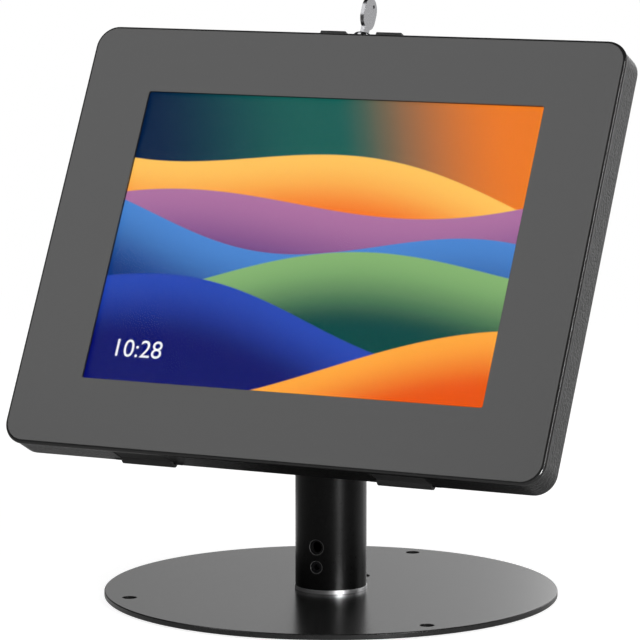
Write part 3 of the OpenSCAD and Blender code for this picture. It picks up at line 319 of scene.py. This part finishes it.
rubber = surface(
    "black_rubber", specular=0.35,
    cloud=(240.0,), colours=((0.009, 0.009, 0.010), (0.017, 0.017, 0.018)),
    haze=(900.0,), roughness=(0.68, 0.86),
    skin=(2600.0,), depth=0.00003, edge=0.0003)
paint(rubber, "base_pad")

# Foot plate: 3 mm steel disc, laser cut with its three fixing holes and the cable hole.
# Its black coat is smoother than the enclosure's, so the pole mirrors softly in it.
plate_black = surface(
    "foot_plate_black_coat", specular=0.4,
    cloud=(420.0,), colours=((0.010, 0.010, 0.010), (0.014, 0.014, 0.014)),
    haze=(600.0,), roughness=(0.225, 0.245),
    skin=(700.0, 2.0), depth=0.000005, edge=0.0004)
paint(plate_black, "base_plate")

# Plug and fasteners of the foot and head: turned steel plug, countersunk screws, bolt and nut.
# Zinc plated, with the cloudy grey and fine scratches that plating leaves.
zinc = surface(
    "zinc_plated_steel", metal=1.0,
    cloud=(300.0,), colours=((0.44, 0.45, 0.47), (0.60, 0.60, 0.61)),
    haze=(520.0,), roughness=(0.26, 0.44),
    skin=(1500.0,), depth=0.000012, edge=0.0002)
paint(zinc, "base_screws", "foot_plug", "head_screws", "tilt_bolt", "tilt_nut")

# Ring under the pole: turned steel, left bright, trapped between the plate and the pole.
# Fine turning lines run round it, so it mirrors in soft level bands.
bright = surface(
    "polished_ring", metal=1.0,
    cloud=(160.0,), colours=((0.58, 0.58, 0.59), (0.66, 0.66, 0.67)),
    haze=(30.0, 3.0, (1.0, 1.0, 0.02)), roughness=(0.30, 0.40),
    skin=(24.0, 3.0, (1.0, 1.0, 0.01)), depth=0.000004, edge=0.0003)
paint(bright, "foot_ring")

# Pole and head: steel tube with two ports in front and a cable exit behind, and the cast head
# in its top. Satin black coat with a very fine skin that only shows along the highlight. A painted
# highlight, a lighter grey ring, lies on the front rims of the ports, given by height and radius.
pole_radius = 0.01853
port_turn = math.radians(2.5)
ports = ((0.0283, 0.00385), (0.0178, 0.0032))
rim_highlight_width = 0.0004
rim_highlight_grey = (0.12, 0.12, 0.12, 1.0)
skin_start = pole_radius - 0.0005
skin_end = pole_radius - 0.0002


def over(tree, share, under, top):
    """Colour that goes from under to top with share."""
    node = tree.nodes.new("ShaderNodeMix")
    node.data_type = "RGBA"
    tree.links.new(share, node.inputs["Factor"])
    for name, value in (("A", under), ("B", top)):
        slot = next(i for i in node.inputs if i.name == name and i.type == "RGBA")
        if isinstance(value, tuple):
            slot.default_value = value
        else:
            tree.links.new(value, slot)
    return next(o for o in node.outputs if o.type == "RGBA")


def diagonal(tree, first, second):
    """Distance from two distances at right angles."""
    square = arithmetic(tree, "MULTIPLY", second, second)
    return arithmetic(tree, "SQRT", arithmetic(tree, "MULTIPLY_ADD", first, first, square))


satin_black = surface(
    "satin_black_coat", specular=0.15,
    cloud=(380.0,), colours=((0.0015, 0.0015, 0.0015), (0.003, 0.003, 0.003)),
    haze=(700.0,), roughness=(0.27, 0.33),
    skin=(1100.0, 2.0), depth=0.00003, edge=0.0005)
tree = satin_black.node_tree
coat_colour = shader(satin_black)["Base Color"]
shown = coat_colour.links[0].from_socket
x, y, z = axes_of(tree, tree.nodes.new("ShaderNodeTexCoord").outputs["Object"])
turned_y = arithmetic(tree, "MULTIPLY", y, math.sin(port_turn))
aside = arithmetic(tree, "MULTIPLY_ADD", x, math.cos(port_turn), turned_y)
outside = smooth_run(tree, diagonal(tree, x, y), skin_start, skin_end, 0.0, 1.0)
in_front = arithmetic(tree, "MULTIPLY", outside, arithmetic(tree, "LESS_THAN", y, 0.0))
# Painted highlight: each port's rim on the front of the tube is painted a lighter grey.
for port_height, port_radius in ports:
    apart = diagonal(tree, aside, arithmetic(tree, "SUBTRACT", z, port_height))
    rim = smooth_run(tree, apart, port_radius, port_radius + rim_highlight_width, 1.0, 0.0)
    shown = over(tree, arithmetic(tree, "MULTIPLY", rim, in_front), shown, rim_highlight_grey)
tree.links.new(shown, coat_colour)
paint(satin_black, "pole_tube", "pole_head")

# Set screw in the lower port: hardened steel with a hexagon socket, oiled black oxide.
# It presses on the plug and keeps the pole from turning.
black_oxide = surface(
    "black_oxide_steel", metal=1.0,
    cloud=(800.0,), colours=((0.022, 0.022, 0.024), (0.042, 0.042, 0.044)),
    haze=(1400.0,), roughness=(0.28, 0.46),
    skin=(2400.0,), depth=0.00001, edge=0.0002)
paint(black_oxide, "set_screw")

# Grommet: soft black rubber bush pressed into the upper port, with a flange inside the tube.
# It keeps the cable off the cut edge, and is smoother and deeper black than the foot's rubber.
bush_rubber = surface(
    "grommet_rubber", specular=0.12,
    cloud=(500.0,), colours=((0.003, 0.003, 0.003), (0.006, 0.006, 0.006)),
    haze=(1200.0,), roughness=(0.52, 0.68),
    skin=(2600.0,), depth=0.00001, edge=0.0002)
paint(bush_rubber, "cable_grommet")

# Washers of the tilt and the swivel's disc: natural plastic, cut from sheet.
# They give the firm, even drag that holds the screen where it is put.
plastic = surface(
    "washer_plastic", specular=0.45,
    cloud=(500.0,), colours=((0.50, 0.49, 0.45), (0.60, 0.59, 0.55)),
    haze=(900.0,), roughness=(0.42, 0.58),
    skin=(1800.0,), depth=0.00001, edge=0.0002)
paint(plastic, "tilt_washers", "swivel_disc")

# Tilt bracket and mounting plate: folded and cut steel, with the foot plate's black coat.
# The bracket turns on the tilt bolt, and the plate turns on the bracket's spindle.
paint(plate_black, "tilt_bracket", "mount_plate")

# Swivel and the plate's fasteners: spindle, spring washer, nut, stop pin, screws, clinched nuts.
# The same zinc plating as the fasteners of the pole.
paint(zinc, "stop_pin", "swivel_spindle", "swivel_washer", "swivel_nut", "mount_screws",
      "clinch_nuts")

# Rear shell: 1.2 mm sheet steel, folded into a tray, with hinge slots and lugs below and two
# pressed key guards above. Fine textured black coat: a small even grain that is rough to the
# touch and scatters its highlights.
shell_black = surface(
    "textured_black_coat",
    cloud=(450.0,), colours=((0.003, 0.003, 0.003), (0.009, 0.009, 0.009)),
    haze=(900.0,), roughness=(0.32, 0.46),
    skin=(850.0, 2.0), depth=0.00055, edge=0.0005)
paint(shell_black, "rear_shell")

# Hinge pins: drawn steel wire, blackened like the set screw, fast in the shell's lugs.
# The barrels of the front frame's straps turn on them.
paint(black_oxide, "hinge_pins")

# Lock clip and the cradle with its posts and screws: zinc plated steel inside the enclosure.
# The cradle is a stamped sheet with eight stop tabs that hold the tablet's edges.
paint(zinc, "lock_clip", "cradle", "cradle_posts", "cradle_screws")

# Foam pads: four strips of black cell foam, glued to the cradle behind the tablet.
# Each is soft at its front edges, and presses the tablet against the front gasket.
# A strip is given by its distance from the middle, its width and its height.
turn_joint = next(j for j in frame["joints"] if j["name"] == "rotate")
face_axis = Vector(turn_joint["axis"])
lean = math.atan2(face_axis.z, -face_axis.y)
on_face = Matrix.Translation(turn_joint["pos_m"]) @ Matrix.Rotation(-lean, 4, "X")
upright = Matrix.Rotation(math.pi / 2, 4, "X")
foam_side, foam_side_size = 0.090, (0.014, 0.080)
foam_end, foam_end_size = 0.056, (0.100, 0.010)
foam_corner = 0.002
foam_depths = (0.00862, 0.00958)
foam_ease = 0.0003
corner_steps = 10
ease_steps = 3


def add_sheet(bm, size, corner):
    """Flat sheet with round corners round the origin; gives its vertices."""
    grown = bmesh.ops.create_grid(bm, x_segments=1, y_segments=1, size=0.5)["verts"]
    bmesh.ops.scale(bm, vec=(*size, 1.0), verts=grown)
    cut = bmesh.ops.bevel(bm, geom=grown, offset=corner, offset_type="OFFSET",
                          segments=corner_steps, profile=0.5, affect="VERTICES", material=-1)
    return cut["verts"]


def add_plate(bm, middle, size, corner, depths, ease):
    """Plate with round corners in the screen's frame, between two depths, eased in front."""
    front, back = depths
    rim = add_sheet(bm, size, corner)
    base = {f for v in rim for f in v.link_faces}
    to_back = Matrix.Translation((middle[0], back, middle[1])) @ upright
    bmesh.ops.transform(bm, matrix=to_back, verts=rim)
    drawn = bmesh.ops.extrude_face_region(bm, geom=list(base))["geom"]
    moved = [g for g in drawn if isinstance(g, bmesh.types.BMVert)]
    bmesh.ops.translate(bm, vec=(0.0, front - back, 0.0), verts=moved)
    front_edges = [e for e in bm.edges if e.verts[0] in moved and e.verts[1] in moved]
    bmesh.ops.bevel(bm, geom=front_edges, offset=ease, offset_type="OFFSET",
                    segments=ease_steps, profile=0.5, affect="EDGES", material=-1)


def placed(bm, name):
    """The shape, made in the screen's frame, as an object in its place on the screen."""
    bmesh.ops.recalc_face_normals(bm, faces=bm.faces)
    bmesh.ops.transform(bm, matrix=on_face, verts=bm.verts)
    mesh = bpy.data.meshes.new(name)
    bm.to_mesh(mesh)
    bm.free()
    piece = bpy.data.objects.new(name, mesh)
    scene.collection.objects.link(piece)
    return piece


bm = bmesh.new()
for side in (-1, 1):
    add_plate(bm, (side * foam_side, 0.0), foam_side_size, foam_corner, foam_depths, foam_ease)
    add_plate(bm, (0.0, side * foam_end), foam_end_size, foam_corner, foam_depths, foam_ease)
foam_strips = placed(bm, "foam_strips")
foam = surface(
    "black_foam", specular=0.2,
    cloud=(1800.0, 1.0), colours=((0.010, 0.010, 0.010), (0.034, 0.034, 0.035)),
    haze=(1200.0,), roughness=(0.82, 0.96),
    skin=(1600.0, 1.0), depth=0.0002)
foam_strips.data.materials.append(foam)
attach(foam_strips, "enclosure")
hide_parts("foam_pads")

# Tablet's case: milled aluminium tray, bead blasted and anodised, that lies in the cradle.
# It shows only when the front frame is open.
aluminium = surface(
    "blasted_aluminium", metal=1.0,
    cloud=(700.0,), colours=((0.52, 0.53, 0.55), (0.60, 0.61, 0.63)),
    haze=(2400.0,), roughness=(0.36, 0.48),
    skin=(5200.0, 1.0), depth=0.00001, edge=0.0003)
paint(aluminium, "tablet_case")

# Display: a lit panel that shows a plain picture of rolling hills in warm and cool bands.
# Each hill is a wave line with a bright crest that fades into a deeper colour below.
# Places on the picture run from -1 to 1, and colours are given as on a screen, 0 to 255.
picture_middle = on_face @ Vector((0.0, 0.0028, 0.0004))
picture_half = (0.114, 1.0, 0.0803)
unlit_black = (0.0, 0.0, 0.0)
panel_rough = 0.6
sky_slant = 0.25
sky_left, sky_left_run = (2, 30, 66), (-0.8, 0.1)
sky_middle = (18, 92, 84)
sky_right, sky_right_run = (236, 122, 34), (0.2, 1.1)
crest_edge = (-0.004, 0.008)
hills = (
    # level, slope, height, waves, start, crest colour, body colour, fade
    (0.50, -0.20, 0.16, 2.3, 0.9, (255, 196, 92), (243, 100, 10), 0.50),
    (0.30, 0.16, 0.17, 2.0, 3.4, (172, 112, 160), (88, 52, 122), 0.55),
    (0.06, -0.12, 0.15, 2.7, 5.4, (72, 132, 206), (17, 56, 125), 0.50),
    (-0.22, 0.12, 0.17, 2.2, 1.2, (132, 178, 112), (0, 70, 64), 0.50),
    (-0.50, -0.16, 0.15, 2.6, 3.0, (34, 70, 178), (5, 13, 103), 0.45),
    (-0.86, 0.26, 0.12, 2.4, 5.8, (255, 168, 60), (232, 84, 6), 0.40),
)


def on_screen(tree, middle, half=(1.0, 1.0, 1.0)):
    """Across, behind and up in the screen's own frame, from a point and in half sizes."""
    place = tree.nodes.new("ShaderNodeTexCoord")
    lay = tree.nodes.new("ShaderNodeMapping")
    lay.vector_type = "TEXTURE"
    lay.inputs["Location"].default_value = middle
    lay.inputs["Rotation"].default_value = (-lean, 0.0, 0.0)
    lay.inputs["Scale"].default_value = half
    tree.links.new(place.outputs["Object"], lay.inputs["Vector"])
    return axes_of(tree, lay.outputs["Vector"])


def seen(colour):
    """Screen colour, 0 to 255, as the light that shows it."""
    shares = [c / 255.0 for c in colour]
    light = [((c + 0.055) / 1.055) ** 2.4 if c > 0.04045 else c / 12.92 for c in shares]
    return (*light, 1.0)


def glow(mat, colour):
    """The material gives its own light of this colour."""
    mat.node_tree.links.new(colour, shader(mat)["Emission Color"])
    shader(mat)["Emission Strength"].default_value = 1.0


picture = finish("lit_picture", unlit_black, panel_rough, specular=0.0)
tree = picture.node_tree
across, _, up = on_screen(tree, picture_middle, picture_half)
sky_run = arithmetic(tree, "MULTIPLY_ADD", up, sky_slant, across)
to_middle = smooth_run(tree, sky_run, *sky_left_run, 0.0, 1.0)
to_right = smooth_run(tree, sky_run, *sky_right_run, 0.0, 1.0)
shown = over(tree, to_middle, seen(sky_left), seen(sky_middle))
shown = over(tree, to_right, shown, seen(sky_right))
for level, slope, height, waves, start, crest, body, fade in hills:
    wave = arithmetic(tree, "SINE", arithmetic(tree, "MULTIPLY_ADD", across, waves, start))
    rolling = arithmetic(tree, "MULTIPLY_ADD", wave, height, level)
    line = arithmetic(tree, "MULTIPLY_ADD", across, slope, rolling)
    below = arithmetic(tree, "SUBTRACT", line, up)
    hill = over(tree, smooth_run(tree, below, 0.0, fade, 0.0, 1.0), seen(crest), seen(body))
    shown = over(tree, smooth_run(tree, below, *crest_edge, 0.0, 1.0), shown, hill)
glow(picture, shown)
paint(picture, "tablet_display")

# Clock on the picture: plain white digits, low at the left of the screen.
# They are part of the lit panel and lie just behind the glass.
digit_height = 0.0135
digit_thickness = 0.000008
digit_start = (-0.102, -0.066)
print_depth = 0.00278
merge_distance = 1e-7
digit_patches = 260.0
digit_dim, digit_bright = (0.80, 0.83, 0.88, 1.0), (0.92, 0.93, 0.96, 1.0)

digits = bpy.data.curves.new("clock_digits", "FONT")
digits.body = "10:28"
digits.size = digit_height
digits.extrude = digit_thickness
text_maker = bpy.data.objects.new("text_maker", digits)
scene.collection.objects.link(text_maker)
bpy.context.view_layer.update()
graph = bpy.context.evaluated_depsgraph_get()
flat_digits = bpy.data.meshes.new_from_object(text_maker.evaluated_get(graph))
bpy.data.objects.remove(text_maker)
bm = bmesh.new()
bm.from_mesh(flat_digits)
bmesh.ops.remove_doubles(bm, verts=bm.verts, dist=merge_distance)
to_print = Matrix.Translation((digit_start[0], print_depth, digit_start[1])) @ upright
bmesh.ops.transform(bm, matrix=to_print, verts=bm.verts)
clock = placed(bm, "clock_digits")
clock_white = finish("lit_digits", unlit_black, panel_rough, specular=0.0)
patches = grain(clock_white, digit_patches)
glow(clock_white, over(clock_white.node_tree, patches, digit_dim, digit_bright))
clock.data.materials.append(clock_white)
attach(clock, "enclosure")

# Border of the tablet's glass: black print on its back, round the picture.
# The front frame hides it until it is opened.
border_outside, border_outside_corner = (0.2466, 0.1776), 0.0113
border_inside, border_inside_corner = (0.2318, 0.1644), 0.002
border_rise = 0.0004
border_thickness = 0.00001

bm = bmesh.new()
add_sheet(bm, border_outside, border_outside_corner)
opening = add_sheet(bm, border_inside, border_inside_corner)
bmesh.ops.translate(bm, vec=(0.0, border_rise, 0.0), verts=opening)
bmesh.ops.delete(bm, geom=list(bm.faces), context="FACES_ONLY")
bmesh.ops.bridge_loops(bm, edges=list(bm.edges))
bmesh.ops.solidify(bm, geom=list(bm.faces), thickness=border_thickness)
to_print = Matrix.Translation((0.0, print_depth, 0.0)) @ upright
bmesh.ops.transform(bm, matrix=to_print, verts=bm.verts)
glass_border = placed(bm, "glass_border")
border_black = finish("border_print", colour=(0.006, 0.006, 0.007), rough=0.45, specular=0.3)
tint(border_black, grain(border_black, fineness=300.0),
     dark=(0.005, 0.005, 0.006), light=(0.008, 0.008, 0.009))
sheen_range(border_black, grain(border_black, fineness=600.0), smooth=0.40, rough=0.50)
glass_border.data.materials.append(border_black)
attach(glass_border, "enclosure")

# Cover glass: one clear sheet with a soft front edge, bonded over the display and its border.
# A thin coating keeps its mirror image faint.
glass_size = (0.247, 0.178)
glass_corner = 0.0115
glass_depths = (0.0021, 0.00276)
glass_ease = 0.0003
coated_bend = 1.09

bm = bmesh.new()
add_plate(bm, (0.0, 0.0), glass_size, glass_corner, glass_depths, glass_ease)
cover = placed(bm, "cover_glass")
clear = finish("coated_glass", colour=(1.0, 1.0, 1.0), rough=0.015)
shader(clear)["Transmission Weight"].default_value = 1.0
shader(clear)["IOR"].default_value = coated_bend
sheen_range(clear, grain(clear, fineness=40.0), smooth=0.0, rough=0.03)
cover.data.materials.append(clear)
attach(cover, "enclosure")
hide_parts("tablet_glass")

# Front frame: sheet steel with a rolled edge, a nested lip and two hinge straps with barrels.
# The same black coat as the shell, but smoother on its broad face. Behind the rolled edge,
# where the coat is thin, it is dull.
face_rough, face_rough_spread = 0.145, 0.12
edge_back = (0.0023, 0.0028)
back_dullness = 0.55

frame_black = finish("front_frame_black_coat", colour=(0.012, 0.012, 0.012), rough=0.34)
tint(frame_black, grain(frame_black, fineness=850.0, detail=2.0),
     dark=(0.010, 0.010, 0.010), light=(0.014, 0.014, 0.014))
tree = frame_black.node_tree
_, depth, _ = on_screen(tree, on_face.translation)
haze = grain(frame_black, fineness=1500.0)
face_gloss = arithmetic(tree, "MULTIPLY_ADD", haze, face_rough_spread, face_rough)
dull = smooth_run(tree, depth, *edge_back, 0.0, back_dullness)
tree.links.new(arithmetic(tree, "ADD", face_gloss, dull), shader(frame_black)["Roughness"])
relief(frame_black, grain(frame_black, fineness=1100.0, detail=2.0), depth=0.00003, edge=0.0003)
paint(frame_black, "front_frame")

# Gasket: thin black rubber round the window's inside, glued to the frame.
# It seals against the glass and hides the gap.
paint(rubber, "frame_gasket")

# Lock: dark chrome body with a rounded head, held by its clip, and the turning plug inside it.
# The cam, its screw and the frame's keeper are zinc plated.
dark_chrome = surface(
    "dark_chrome", metal=1.0,
    cloud=(500.0,), colours=((0.26, 0.26, 0.27), (0.34, 0.34, 0.35)),
    haze=(700.0,), roughness=(0.12, 0.22),
    skin=(1400.0,), depth=0.000006, edge=0.0002)
paint(dark_chrome, "lock_body", "lock_plug")
paint(zinc, "lock_keeper", "lock_cam", "cam_screw")

# Key: stamped from nickel plated brass sheet, with a round bow and a hole for its ring.
# Its flats are satin, brushed along the blade.
brushed = ((1.0, 1.0, 0.1), (-lean, 0.0, 0.0))
satin_nickel = surface(
    "satin_nickel", metal=1.0,
    cloud=(900.0,), colours=((0.27, 0.27, 0.28), (0.31, 0.31, 0.32)),
    haze=(500.0, 3.0, *brushed), roughness=(0.24, 0.32),
    skin=(1600.0, 3.0, *brushed), depth=0.000003, edge=0.0003)
paint(satin_nickel, "key")
